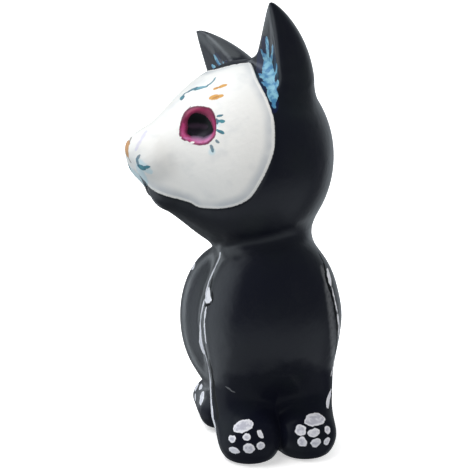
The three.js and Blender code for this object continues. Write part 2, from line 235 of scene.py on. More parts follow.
RIGHT_LEG_BONES = chain(
    [(-12.4, -6.1, 47.3), (-11.8, -6.6, 46.8), (-11.5, -6.4, 44.9), (-12.8, -7.7, 42.4),
     (-14.1, -7.4, 39.2), (-14.8, -7.8, 37)],
    [0.5, 0.55, 0.6, 0.66, 0.8],
) + [
    ((-14.5, -9.2, 38), (-14.6, -10.9, 36.2), 0.62),
    ((-15.1, -9, 35.6), (-14.5, -11.2, 36.2), 0.62),
    ((-14.9, -8.4, 37), (-15, -9.6, 35.8), 0.9),
    ((-15.5, -7.9, 34.6), (-15.9, -6.3, 29.5), 0.8),
    ((-15.9, -6.3, 29.5), (-15.6, -4.9, 24.6), 0.72),
    ((-15.5, -10.2, 34), (-15.6, -10.3, 26), 0.36),
    ((-15.6, -5, 24.6), (-15.4, -5.4, 22.4), 1),
    ((-15.3, -6.6, 22), (-14.6, -8.4, 17.4), 0.8),
    ((-14.6, -8.4, 17.4), (-14.1, -8.6, 12), 0.8),
    ((-14.1, -8.6, 12), (-13.4, -9.8, 8), 0.9),
    ((-13.4, -9.8, 8), (-12.9, -12.4, 5.6), 0.6),
]
RIGHT_LEG_INK = [
    ((-13.4, -8.8, 41), (-14.1, -9.9, 38.4), 0.5),
    ((-14.2, -11.4, 38), (-14.2, -12.2, 36.2), 0.4),
    ((-14.6, -11.4, 35.4), (-15.3, -9.6, 34.4), 0.45),
    ((-15.8, -8.2, 25.4), (-15.2, -9.4, 22.4), 0.55),
    ((-14.9, -10.4, 21.6), (-14.1, -11, 14), 0.6),
    ((-14.1, -11, 14), (-13.1, -12.6, 8.6), 0.6),
]
LEFT_LEG_BONES = [
    ((11.4, -13.3, 41.8), (11.5, -14.4, 39.4), 0.75),
    ((11.8, -14.4, 38.4), (13.2, -14.7, 32.7), 0.26),
    ((13.4, -14.6, 32), (14.3, -13.2, 26.4), 0.42),
    ((13.8, -12.4, 22), (13, -12.6, 17), 0.3),
    ((13, -12.5, 13), (11.6, -14.6, 10.6), 0.72),
    ((14.6, -9.4, 23), (13.9, -9.4, 10.6), 0.5),
]
# Painted shade: a dark line where the left foreleg's edge stands in front of the haunch
LEFT_LEG_EDGE_SHADE = chain(
    [(9.6, -11.6, 45.8), (10.5, -13, 43.6), (10.6, -14.9, 41), (11.3, -15.5, 38.5), (12.3, -15.5, 35.3),
     (12.9, -15.4, 31.5), (13.6, -14.4, 27.4), (13.7, -13, 22.7), (13.2, -13, 17)],
    [0.24, 0.4, 0.6, 0.45, 0.42, 0.42, 0.38, 0.3],
) + [((12.9, -13.4, 13.6), (12.4, -14.2, 10.8), 0.3)]
HIND_PAW_BONES = [
    ((13.6, 5.4, 7.4), (14, 3.9, 6.4), 1.05),
    ((13.2, 10, 7.9), (13.2, 8.3, 8.2), 0.7),
    ((13.6, 13.6, 6.8), (13.9, 12.6, 6.6), 1),
    ((14.3, 10.7, 5.2), (14.5, 9.6, 4.8), 0.7),
]
HAUNCH_BONES = [
    ((16.4, 13.6, 36.5), (17.2, 11.4, 28), 0.95),
    ((14.6, 15, 38.6), (15.2, 13.4, 38.4), 1.1),
    ((17.2, 10.6, 26.6), (17.4, 9.4, 26.6), 1.2),
    ((17.2, 11, 24.6), (15, 13.4, 13), 0.75),
    ((16.2, 13.4, 23.6), (14.2, 15.4, 14), 0.4),
]
HIP_BONES = [((-15.3, 6.4, 38.6), (-14.9, 8, 38.6), 0.8), ((-15, 8, 38.7), (-14.8, 13, 38.6), 0.4)]
SPINE_BONES = [dot((0, 18, height), 1.1) for height in range(20, 50, 4)]
TAIL_BONES = [
    dot((2.6, 22.4, 9.6), 0.9),
    dot((6.2, 22.6, 7.4), 0.85),
    dot((9.6, 21.6, 6), 0.8),
    dot((12.4, 19.6, 5.2), 0.72),
    dot((14.4, 17, 4.8), 0.64),
]
# Painted shade between the forepaws: an even black there, duller so that it reflects less
CLEFT_SHADE = [((0, -14.5, 13), (0, -13.5, 4), 4)]  # dull black between the forepaws

# Grey laid over the black: on the head mirrored, on the body as it stands
# Painted highlights along the ear rims and the far ear's ridge, where light falls on them
EAR_RIM_HIGHLIGHTS = [((6.6, 17.8, 29.6), (5.5, 13.2, 25.2), 0.9), ((5.2, 14.4, 28.8), (2.4, 8.2, 24.2), 1.6)]
# Painted sheen beside the dark line along the left foreleg's edge
FORELEG_EDGE_SHEEN = chain(
    [(10, -14.6, 43.2), (10.7, -15.9, 39.6), (11.1, -16.5, 35.6), (11.6, -16.5, 31.4), (12.2, -15.8, 27),
     (12.6, -14.5, 22.8)],
    [0.5, 0.7, 0.75, 0.75, 0.6],
)
# A thin pale grey streak low on the right foreleg
PALE_LEG_STREAK = [((-11.5, -14, 16.7), (-9.9, -15, 15.6), 0.2)]


# Fields

def smooth_min(a, b, radius):
    overlap = np.maximum(radius - np.abs(a - b), 0) / radius
    return np.minimum(a, b) - overlap * overlap * radius / 4


def smooth_max(a, b, radius):
    return -smooth_min(-a, -b, radius)


def ellipsoid(points, centre, radii):
    radii = np.array(radii, np.float32)
    offset = (points - np.array(centre, np.float32)) / radii
    reach = np.linalg.norm(offset, axis=-1)
    steep = np.linalg.norm(offset / radii, axis=-1) + TINY
    return reach * (reach - 1) / steep


def tapered_rod(points, start, start_radius, end, end_radius):
    start = np.array(start, np.float32)
    along = np.array(end, np.float32) - start
    offset = points - start
    way = np.clip(offset @ along / (along @ along), 0, 1)
    reach = np.linalg.norm(offset - way[:, None] * along, axis=-1)
    return reach - (start_radius + (end_radius - start_radius) * way)


def mirrored(points, axis):
    folded = points.copy()
    folded[:, axis] = np.abs(folded[:, axis])
    return folded


def tail_field(points):
    root, bow, tip = (np.array(TAIL[name]) for name in ("root", "bow", "tip"))
    ways = np.linspace(0, 1, TAIL["steps"] + 1)
    stations = [(1 - w) ** 2 * root + 2 * w * (1 - w) * bow + w * w * tip for w in ways]
    radii = np.linspace(*TAIL["radii"], TAIL["steps"] + 1)
    spans = zip(stations, radii, stations[1:], radii[1:])
    return np.minimum.reduce([tapered_rod(points, *span) for span in spans])


def body_field(points):
    sides = mirrored(points, 0)
    depth = smooth_min(tapered_rod(points, **BACK), ellipsoid(points, **CHEST), TORSO_BLEND)
    depth = smooth_min(depth, tapered_rod(sides, **LEG), TORSO_BLEND)
    depth = smooth_min(depth, tapered_rod(points, **LEG_WEB), LEG_BLEND)
    depth = smooth_min(depth, ellipsoid(sides, **PAW), PAW_BLEND)
    depth = smooth_min(depth, ellipsoid(points, **SEAT), LEG_BLEND)
    depth = smooth_min(depth, ellipsoid(sides, **HAUNCH), HAUNCH_BLEND)
    depth = smooth_min(depth, tapered_rod(sides, **HIND_PAW), HIND_PAW_BLEND)
    depth = smooth_min(depth, tapered_rod(points, **NECK), TORSO_BLEND)
    return smooth_min(depth, tail_field(points), TAIL_BLEND)


def ear_field(points):
    """The left ear in the head's axes: a bowed, tapered form cut off along its hollowed opening."""
    length = np.linalg.norm(EAR_TIP - EAR_BASE)
    up = (EAR_TIP - EAR_BASE) / length
    front = np.array((math.cos(EAR_OPENING_TURN), math.sin(EAR_OPENING_TURN), 0))
    front -= up * (front @ up)
    front /= np.linalg.norm(front)
    side = np.cross(up, front)
    offset = points - EAR_BASE
    height = offset @ up / length
    inside = np.clip(height, 0, 1)
    width = offset @ side / EAR_HALF_WIDTH
    bowed = (offset @ front + 4 * EAR_BOW * inside * (1 - inside)) / EAR_HALF_DEPTH
    root = np.clip(height / EAR_ROOT_SHARE, -1, 0)
    fullness = np.where(height > 0, (1 - inside) ** EAR_TAPER, np.sqrt(1 - root * root))
    depth = (np.hypot(bowed, width) - fullness) * min(EAR_HALF_WIDTH, EAR_HALF_DEPTH)
    over = np.maximum(np.maximum(height - 1, -EAR_ROOT_SHARE - height), 0) * length
    depth = np.where(over > 0, np.hypot(np.maximum(depth, 0), over), depth)
    hollow = np.where(fullness > 0, 1 - np.minimum((width / np.maximum(fullness, TINY)) ** 2, 1), 0)
    opening = EAR_OPENING - EAR_SCOOP * hollow * fullness
    ahead = offset @ front * math.cos(EAR_OPENING_TILT) + offset @ up * math.sin(EAR_OPENING_TILT)
    return smooth_max(depth, ahead - opening, EAR_RIM)


def head_field(points):
    """The head without the body, in the head's own axes."""
    sides = mirrored(points, 1)
    depth = smooth_min(ellipsoid(points, **SKULL), tapered_rod(points, **MUZZLE), MUZZLE_BLEND)
    depth = smooth_min(depth, tapered_rod(points, **JAW), JAW_BLEND)
    depth = smooth_min(depth, ellipsoid(sides, **CHEEK_PAD), PAD_BLEND)
    depth = smooth_min(depth, ellipsoid(points, **NOSE), NOSE_BLEND)
    depth = smooth_min(depth, ear_field(sides), EAR_BLEND)
    return smooth_max(depth, -ellipsoid(sides, **SOCKET), SOCKET_RIM)


def head_matrix():
    turned = Matrix.Rotation(-math.pi / 2 - HEAD_TURN, 3, "Z")
    return turned @ Matrix.Rotation(-HEAD_LIFT, 3, "Y") @ Matrix.Rotation(HEAD_TILT, 3, "X")


HEAD_TO_BODY = np.array(head_matrix())


def in_head_axes(points):
    return (points - np.array(HEAD_CENTRE)) @ HEAD_TO_BODY


def in_body_axes(points):
    return points @ HEAD_TO_BODY.T + np.array(HEAD_CENTRE)


def figure_field(points):
    depth = smooth_min(body_field(points), head_field(in_head_axes(points)), HEAD_ON_BODY)
    return smooth_max(depth, -points[:, 2], UNDERSIDE_EDGE)


# Meshing

def grid_planes(pitch):
    low, high = GRID_LOW, GRID_HIGH
    xs = np.arange(low[0], high[0], pitch["across"])
    ys = np.arange(low[1], high[1], pitch["across"])
    body = np.arange(low[2], HEAD_FROM, pitch["body_up"])
    head = np.arange(body[-1] + pitch["head_up"], high[2], pitch["head_up"])
    return xs, ys, np.concatenate([body, head])


def sampled_field(grid, reach):
    """The field at every grid node: first coarsely, and then exactly wherever the surface can be near."""
    shape = grid.shape[:3]
    coarse = grid[::COARSE_STRIDE, ::COARSE_STRIDE, ::COARSE_STRIDE]
    depth = figure_field(coarse.reshape(-1, 3)).reshape(coarse.shape[:3])
    for axis in range(3):
        depth = np.repeat(depth, COARSE_STRIDE, axis=axis)
    depth = depth[: shape[0], : shape[1], : shape[2]].astype(np.float64)
    near = np.abs(depth) < reach
    depth[near] = figure_field(grid[near])
    return depth


def surface_net(pitch):
    """The surface's vertices, one in each cell it crosses, and its quads, one round each crossed edge."""
    planes = grid_planes(pitch)
    grid = np.stack(np.meshgrid(*planes, indexing="ij"), -1).astype(np.float32)
    depth = sampled_field(grid, 2 * COARSE_STRIDE * max(pitch.values()))
    inside = depth < 0
    cells = np.array(depth.shape) - 1

    def corner(of, step):
        return of[tuple(slice(step[i], cells[i] + step[i]) for i in range(3))]

    total = np.zeros((*cells, 3))
    count = np.zeros(cells, np.int32)
    for axis in range(3):
        for u in (0, 1):
            for v in (0, 1):
                start = [0, 0, 0]
                start[(axis + 1) % 3], start[(axis + 2) % 3] = u, v
                end = list(start)
                end[axis] = 1
                crossed = corner(inside, start) != corner(inside, end)
                a, b = corner(depth, start)[crossed], corner(depth, end)[crossed]
                p, q = corner(grid, start)[crossed], corner(grid, end)[crossed]
                total[crossed] += p + (a / (a - b))[:, None] * (q - p)
                count[crossed] += 1
    used = count > 0
    number = np.full(cells, -1, np.int64)
    number[used] = np.arange(used.sum())
    vertices = total[used] / count[used][:, None]

    quads = []
    for axis in range(3):
        u, v = np.eye(3, dtype=int)[(axis + 1) % 3], np.eye(3, dtype=int)[(axis + 2) % 3]
        nodes = np.argwhere(np.diff(inside, axis=axis))
        leaving = inside[tuple(nodes.T)]
        ring = [number[tuple((nodes - back).T)] for back in (u + v, v, 0 * u, u)]
        ring = np.stack(ring, -1)
        ring[~leaving] = ring[~leaving][:, ::-1]
        quads.append(ring)
    return vertices, np.concatenate(quads)


def slopes(field, points):
    steps = np.eye(3) * FEEL
    return np.stack([(field(points + s) - field(points - s)) / (2 * FEEL) for s in steps], -1)


def settled(field, points, steps):
    """The points moved along the field's slope until they lie on the surface."""
    for _ in range(steps):
        slope = slopes(field, points)
        steepness = np.maximum((slope * slope).sum(-1), LEAST_STEEPNESS)
        move = slope * (-SETTLE_PACE * field(points) / steepness)[:, None]
        length = np.linalg.norm(move, axis=-1, keepdims=True)
        points = points + move * np.minimum(1, LONGEST_MOVE / np.maximum(length, TINY))
    return points


def evened(points, quads):
    """The points drawn halfway to the middle of their neighbours."""
    total = np.zeros_like(points)
    count = np.zeros(len(points))
    for a, b in ((0, 1), (1, 2), (2, 3), (3, 0)):
        for here, there in ((a, b), (b, a)):
            np.add.at(total, quads[:, here], points[quads[:, there]])
            np.add.at(count, quads[:, here], 1)
    return (points + total / count[:, None]) / 2


# Outlines on the surface

def smooth_loop(points):
    """A closed Catmull-Rom curve through the points, as a list of points."""
    points = np.array(points, float)
    before, after, beyond = (np.roll(points, shift, 0) for shift in (1, -1, -2))
    loop = []
    for way in np.arange(OUTLINE_STEPS) / OUTLINE_STEPS:
        along = (after - before) * way
        bend = (2 * before - 5 * points + 4 * after - beyond) * way**2
        twist = (3 * points - before - 3 * after + beyond) * way**3
        loop.append((2 * points + along + bend + twist) / 2)
    return np.stack(loop, 1).reshape(-1, 2)


def outline_distance(points, loop):
    """How far flat points lie outside a closed loop, below zero inside it."""
    nearest = np.full(len(points), np.inf)
    inside = np.zeros(len(points), bool)
    for a, b in zip(loop, np.roll(loop, -1, 0)):
        along = b - a
        offset = points - a
        way = np.clip(offset @ along / (along @ along), 0, 1)
        nearest = np.minimum(nearest, np.linalg.norm(offset - way[:, None] * along, axis=-1))
        if a[1] != b[1]:
            spans = (a[1] > points[:, 1]) != (b[1] > points[:, 1])
            inside ^= spans & (points[:, 0] < a[0] + along[0] * offset[:, 1] / along[1])
    return np.where(inside, -nearest, nearest)


def flat_directions(directions):
    """Directions from the skull's middle laid flat round the one to the nose, in degrees from it."""
    angle = np.degrees(np.arctan2(np.hypot(directions[:, 1], directions[:, 2]), directions[:, 0]))
    turn = np.arctan2(directions[:, 2], directions[:, 1])
    return np.stack([angle * np.cos(turn), angle * np.sin(turn)], -1)


def face_edge_loop():
    left = [(math.radians(aside), math.radians(up)) for aside, up in FACE_EDGE]
    whole = left + [(-aside, up) for aside, up in reversed(left[1:-1])]
    directions = [(math.cos(u) * math.cos(a), math.cos(u) * math.sin(a), math.sin(u)) for a, u in whole]
    return smooth_loop(flat_directions(np.array(directions)))


FACE_LOOP = face_edge_loop()


def face_distance(points):
    """Distance in shares of points of the head from the painted face's edge, below zero on the face."""
    reach = np.linalg.norm(points, axis=-1)
    return outline_distance(flat_directions(points), FACE_LOOP) * np.radians(reach)


def eye_distances(points):
    """Distances of points of the head from the outlines of the nearer eye's ring and of its inside."""
    facing = EYE_FACING / np.linalg.norm(EYE_FACING)
    back = np.cross((0, 0, 1), facing)
    back /= np.linalg.norm(back)
    up = np.cross(facing, back)
    offset = mirrored(points, 1) - EYE_MIDDLE
    near = np.linalg.norm(offset, axis=-1) < EYE_REACH
    flat = np.stack([offset[near] @ back, offset[near] @ up], -1)
    distances = []
    for outline in (EYE_RING, EYE_INSIDE):
        distance = np.full(len(points), float(EYE_REACH))
        distance[near] = outline_distance(flat, smooth_loop(outline))
        distances.append(distance)
    return distances


def touches(strokes, field):
    """Brush strokes as short touches whose ends lie on the form."""
    points, widths = [], []
    for start, end, half_width in strokes:
        start, end = np.array(start, float), np.array(end, float)
        parts = max(1, math.ceil(np.linalg.norm(end - start) / LONGEST_TOUCH))
        stations = start + (end - start) * np.linspace(0, 1, parts + 1)[:, None]
        points += [station for pair in zip(stations, stations[1:]) for station in pair]
        widths += [half_width] * parts
    points = settled(field, np.array(points), TOUCH_STEPS)
    return [(Vector(points[2 * i]), Vector(points[2 * i + 1]), width) for i, width in enumerate(widths)]


# The cast figure

def snapped_to_face_edge(points, on_head):
    """The points that lie close to the painted face's edge, drawn along the surface onto it."""
    head_points = in_head_axes(points[on_head])
    distance = face_distance(head_points)
    close = np.abs(distance) < EDGE_SNAP
    slope = slopes(face_distance, head_points[close])
    steepness = np.maximum((slope * slope).sum(-1), LEAST_STEEPNESS)
    head_points[close] -= slope * (distance[close] / steepness)[:, None]
    moved = points.copy()
    moved[on_head] = in_body_axes(head_points)
    return moved


def groove(distance):
    outside = np.maximum(distance, 0)
    return GROOVE_DEPTH * (1 - np.exp(-outside / GROOVE_RISE)) * np.exp(-outside / GROOVE_FADE)


def cast_mesh():
    """The figure's mesh in metres, with what its paint needs to know at each vertex."""
    points, quads = surface_net(FINE_PITCH)
    for _ in range(EVENING_ROUNDS):
        points = settled(figure_field, evened(points, quads), SETTLE_STEPS)
    on_head = head_field(in_head_axes(points)) < body_field(points)
    points = snapped_to_face_edge(points, on_head)
    normals = slopes(figure_field, points)
    normals /= np.maximum(np.linalg.norm(normals, axis=-1, keepdims=True), TINY)

    head_points = in_head_axes(points)
    face = np.full(len(points), FAR_OFF)
    face[on_head] = face_distance(head_points[on_head])
    ring, eye_inside = eye_distances(head_points)
    points = points - normals * groove(face)[:, None]

    mesh = bpy.data.meshes.new("painted_cat")
    mesh.from_pydata((points * SHARE).tolist(), [], quads.tolist())
    for name, values in (("face_edge", face), ("eye_ring", ring), ("eye_inside", eye_inside)):
        mesh.attributes.new(name, "FLOAT", "POINT").data.foreach_set("value", values.astype(np.float32))
    mesh.polygons.foreach_set("use_smooth", np.ones(len(quads), bool))
    head_faces = on_head[quads].all(axis=1)
    mesh.polygons.foreach_set("material_index", head_faces.astype(np.int32))
    mesh.update()
    mesh.validate()
    return mesh


# Paint, as shader nodes

def screen(red, green, blue):
    """The linear colour of an 8-bit screen colour."""
    parts = [value / 255 for value in (red, green, blue)]
    return (*(p / 12.92 if p <= 0.04045 else ((p + 0.055) / 1.055) ** 2.4 for p in parts), 1)


BLACK = screen(8, 10, 25)
BLACK_WORN = screen(15, 20, 27)
# Greys for painted highlights on the ears, painted sheen on the body, and a pale streak
SHEEN_AND_STREAK_GREY = screen(104, 106, 110)
EAR_HIGHLIGHT_GREY = screen(104, 108, 110)
FACE_WHITE = screen(244, 243, 240)
# Grey for faint mottling on the face and for painted shade just inside its edge
FACE_MOTTLE_AND_SHADE_GREY = screen(207, 210, 213)
BONE = screen(234, 234, 240)
BONE_THIN = screen(190, 190, 202)
# The ring's colours: lilac for painted light low in the socket, rose for painted shade at its top
PINK = screen(180, 62, 116)
ROSE = screen(150, 40, 84)
CRIMSON = screen(98, 22, 56)
LILAC = screen(200, 116, 168)
PUPIL = screen(6, 9, 12)
# Purple-grey for painted light low in the eye's black inside
PUPIL_LIT_LOW = screen(36, 28, 42)
# Plum for a painted reflection across the pupil, lilac grey for painted light low in the eye
PLUM = screen(84, 62, 84)
LILAC_GREY = screen(166, 132, 166)
# Near-black for dark outlines, and for painted shade along an edge
INK_AND_EDGE_SHADE = screen(3, 3, 5)
TEAL = screen(44, 134, 148)
TEAL_DEEP = screen(44, 98, 120)
TEAL_DARK = screen(28, 52, 66)
SKY = screen(132, 186, 206)
SKY_DEEP = screen(66, 126, 170)
NAVY = screen(10, 20, 56)
ORANGE = screen(214, 152, 30)
ORANGE_DEEP = screen(170, 96, 26)
OCHRE = screen(196, 142, 84)
UMBER = screen(74, 58, 48)
LAVENDER = screen(214, 210, 232)
PALE_BLUE = screen(196, 226, 236)

PAINT_IOR = 1.48
LACQUER_WEIGHT = 0.25
LACQUER_ROUGHNESS = 0.22
BLACK_ROUGHNESS = (0.27, 0.36)  # from patch to patch
BLACK_MARKS_TURN = (0.1, 0.15, 0.2)  # radians by which the brush marks are off the upright
BLACK_MARKS_STRETCH = (1, 1, 5)
BLACK_MARKS_ROUGHNESS = 0.08
BLACK_MARKS_HEIGHT = 0.15  # heights are in coats of paint
BLACK_GRAIN_HEIGHT = 0.05
BLACK_LUMPS_HEIGHT = 1.4

# Low down the body's paint is duller, below an uneven plane that falls towards the back
DULL_HEIGHT = 7.3  # the plane's, at the body's middle
DULL_FALL = 0.8  # how far the plane falls for each share further back
DULL_FADE = 1.8  # how far the change runs above and below the plane
DULL_ROUGHER = 0.7
DULL_UNEVEN = 4
DULL_UNEVEN_SCALE = 0.2

EDGE_WOBBLE = 0.25  # by how much the edges of the face and of the eyes are uneven
FACE_MARKS_TURN = (0, 0.5, 0)  # radians by which the brush marks on the face are off the head's axes
FACE_MARKS_STRETCH = (5, 5, 1)
FACE_MARKS_HEIGHT = 0.6


class Nodes:
    """Short ways to add nodes to a tree. An input is a number, a colour or another node's socket."""

    def __init__(self, owner):
        owner.use_nodes = True
        self.tree = owner.node_tree
        self.tree.nodes.clear()

    def node(self, kind, inputs, **settings):
        node = self.tree.nodes.new(kind)
        for name, value in settings.items():
            setattr(node, name, value)
        for key, value in inputs.items():
            if isinstance(value, bpy.types.NodeSocket):
                self.tree.links.new(value, node.inputs[key])
            else:
                node.inputs[key].default_value = value
        return node

    def math(self, operation, *values):
        return self.node("ShaderNodeMath", dict(enumerate(values)), operation=operation).outputs[0]

    def step(self, value, low, high, to_low=0.0, to_high=1.0):
        inputs = {"Value": value, "From Min": low, "From Max": high, "To Min": to_low, "To Max": to_high}
        return self.node("ShaderNodeMapRange", inputs, interpolation_type="SMOOTHSTEP").outputs[0]

    def mix(self, share, below, above):
        inputs = {0: share, 6: below, 7: above}
        return self.node("ShaderNodeMix", inputs, data_type="RGBA", clamp_factor=True).outputs[2]

    def noise(self, coords, scale, detail=2.0, roughness=0.5, output="Fac"):
        inputs = {"Vector": coords, "Scale": scale, "Detail": detail, "Roughness": roughness}
        return self.node("ShaderNodeTexNoise", inputs).outputs[output]

    def placed(self, coords, location, rotation, scale):
        inputs = {"Vector": coords, "Location": location, "Rotation": rotation, "Scale": scale}
        return self.node("ShaderNodeMapping", inputs, vector_type="TEXTURE").outputs[0]

    def dotted(self, coords, direction):
        inputs = {0: coords, 1: direction}
        return self.node("ShaderNodeVectorMath", inputs, operation="DOT_PRODUCT").outputs["Value"]

    def attribute(self, name):
        return self.node("ShaderNodeAttribute", {}, attribute_name=name).outputs["Fac"]

    def mirrored(self, coords, axis):
        parts = self.node("ShaderNodeSeparateXYZ", {0: coords}).outputs
        folded = [self.math("ABSOLUTE", part) if i == axis else part for i, part in enumerate(parts)]
        return self.node("ShaderNodeCombineXYZ", dict(enumerate(folded))).outputs[0]

    def shaken(self, coords, amount, scale):
        """The coordinates moved a little by noise, which makes a painted edge uneven."""
        colour = self.noise(coords, scale, output="Color")
        centred = self.node("ShaderNodeVectorMath", {0: colour, 1: (0.5,) * 3}, operation="SUBTRACT")
        inputs = {0: centred.outputs[0], 1: (amount,) * 3, 2: coords}
        return self.node("ShaderNodeVectorMath", inputs, operation="MULTIPLY_ADD").outputs[0]

    def distance(self, coords, point):
        inputs = {0: coords, 1: point}
        return self.node("ShaderNodeVectorMath", inputs, operation="DISTANCE").outputs["Value"]


class Paint(Nodes):
    """A material and its coats of paint so far."""

    def __init__(self, name):
        self.material = bpy.data.materials.new(name)
        super().__init__(self.material)
        self.colour = self.roughness = self.height = None

    def touch(self, coords, start, end, half_width):
        """How far outside one touch of the brush a point is: a long round form about two foci."""
        middle, half = (start + end) / 2, (end - start) / 2
        half_length = half.length + half_width
        focus = half.normalized() * math.sqrt(half_length**2 - half_width**2)
        from_foci = (self.distance(coords, middle + focus), self.distance(coords, middle - focus))
        steepness = half_length / (2 * half_width)
        rise = -(half_length**2) / half_width
        return self.math("MULTIPLY_ADD", self.math("ADD", *from_foci), steepness, rise)

    def reach(self, coords, strokes, field):
        """How far outside the nearest of several strokes a point is, in shares."""
        nearest = None
        for stroke in touches(strokes, field):
            distance = self.touch(coords, *stroke)
            nearest = distance if nearest is None else self.math("MINIMUM", nearest, distance)
        return nearest

    def lay(self, cover, colour, thickness=0.0, rougher=0.06):
        """One coat of a colour, where cover is 1, over what is there."""
        self.colour = self.mix(cover, self.colour, colour)
        self.roughness = self.math("MULTIPLY_ADD", cover, rougher, self.roughness)
        self.height = self.math("MULTIPLY_ADD", cover, thickness, self.height)

    def black_ground(self, coords):
        """Worn black, with upright brush marks, soft lumps and a fine grain."""
        broad = self.noise(coords, scale=0.09, detail=3.0)
        stretched = self.placed(coords, (0, 0, 0), BLACK_MARKS_TURN, BLACK_MARKS_STRETCH)
        brush_marks_and_sheen = self.noise(stretched, scale=0.9, detail=3.0, roughness=0.6)
        lumps = self.noise(coords, scale=0.35)
        self.colour = self.mix(self.step(broad, 0.42, 0.75), BLACK, BLACK_WORN)
        patches = self.step(broad, 0.3, 0.7, *BLACK_ROUGHNESS)
        self.roughness = self.math("MULTIPLY_ADD", brush_marks_and_sheen, BLACK_MARKS_ROUGHNESS, patches)
        grain = self.noise(coords, scale=4.5, detail=1.0)
        marks = self.math("MULTIPLY", brush_marks_and_sheen, BLACK_MARKS_HEIGHT)
        fine = self.math("MULTIPLY_ADD", grain, BLACK_GRAIN_HEIGHT, marks)
        self.height = self.math("MULTIPLY_ADD", lumps, BLACK_LUMPS_HEIGHT, fine)

    def dull_low_down(self, coords):
        uneven = self.shaken(coords, DULL_UNEVEN, DULL_UNEVEN_SCALE)
        up = self.dotted(uneven, (0, DULL_FALL, 1))
        dull = self.step(up, DULL_HEIGHT + DULL_FADE, DULL_HEIGHT - DULL_FADE, to_high=DULL_ROUGHER)
        self.roughness = self.math("ADD", self.roughness, dull)

    def finish(self):
        """The material, with all that was laid on it under a thin lacquer."""
        inputs = {"Height": self.height, "Distance": PAINT_THICKNESS, "Strength": 1.0}
        shader_inputs = {
            "Base Color": self.colour,
            "Roughness": self.roughness,
            "Normal": self.node("ShaderNodeBump", inputs).outputs[0],
            "IOR": PAINT_IOR,
            "Coat Weight": LACQUER_WEIGHT,
            "Coat Roughness": LACQUER_ROUGHNESS,
        }
        shader = self.node("ShaderNodeBsdfPrincipled", shader_inputs)
        self.node("ShaderNodeOutputMaterial", {0: shader.outputs[0]})
        return self.material


def body_paint():
    paint = Paint("painted_body")
    place = paint.node("ShaderNodeTexCoord", {}).outputs["Object"]
    coords = paint.placed(place, (0, 0, 0), (0, 0, 0), (SHARE,) * 3)
    paint.black_ground(coords)
    shaken = paint.shaken(coords, amount=0.9, scale=0.8)
    paint.dull_low_down(coords)
    sides = paint.mirrored(shaken, 0)
    as_they_stand = PAW_BONES + RIGHT_LEG_BONES + LEFT_LEG_BONES + SPINE_BONES + TAIL_BONES + HIP_BONES
    nearest = paint.reach(shaken, as_they_stand, body_field)
    on_both_sides = paint.reach(sides, HIND_PAW_BONES + HAUNCH_BONES, body_field)
    nearest = paint.math("MINIMUM", nearest, on_both_sides)
    blots = paint.noise(coords, scale=1.4, detail=3.0)
    uneven = paint.step(blots, 0.3, 0.6, to_low=0.2)
    thin = paint.math("MULTIPLY", paint.step(nearest, -0.2, -0.6), uneven)
    bone = paint.mix(thin, BONE, BONE_THIN)
    # Painted sheen in patches beside the left foreleg's dark edge line
    brush_marks_and_sheen = paint.reach(coords, FORELEG_EDGE_SHEEN, body_field)
    patchy = paint.step(blots, 0.25, 0.6, to_low=0.35, to_high=0.8)
    paint.lay(paint.math("MULTIPLY", paint.step(brush_marks_and_sheen, 1.2, -0.7), patchy), SHEEN_AND_STREAK_GREY)
    # A thin pale grey streak low on the right foreleg
    pale_leg_streak = paint.reach(shaken, PALE_LEG_STREAK, body_field)
    paint.lay(paint.step(pale_leg_streak, 0.12, -0.12), SHEEN_AND_STREAK_GREY)
    # Painted shade between the forepaws, evenly black and duller
    cleft = paint.reach(coords, CLEFT_SHADE, body_field)
    paint.lay(paint.step(cleft, 2.5, -3), BLACK, rougher=0.4)
    # Dark outlines on the right foreleg, and painted shade along the left foreleg's edge
    ink_and_edge_shade = paint.reach(shaken, RIGHT_LEG_INK + LEFT_LEG_EDGE_SHADE, body_field)
    paint.lay(paint.step(ink_and_edge_shade, 0.12, -0.12), INK_AND_EDGE_SHADE, thickness=-0.8, rougher=0.7)
    paint.lay(paint.step(nearest, 0.06, -0.06), bone, thickness=0.6)
    return paint.finish()


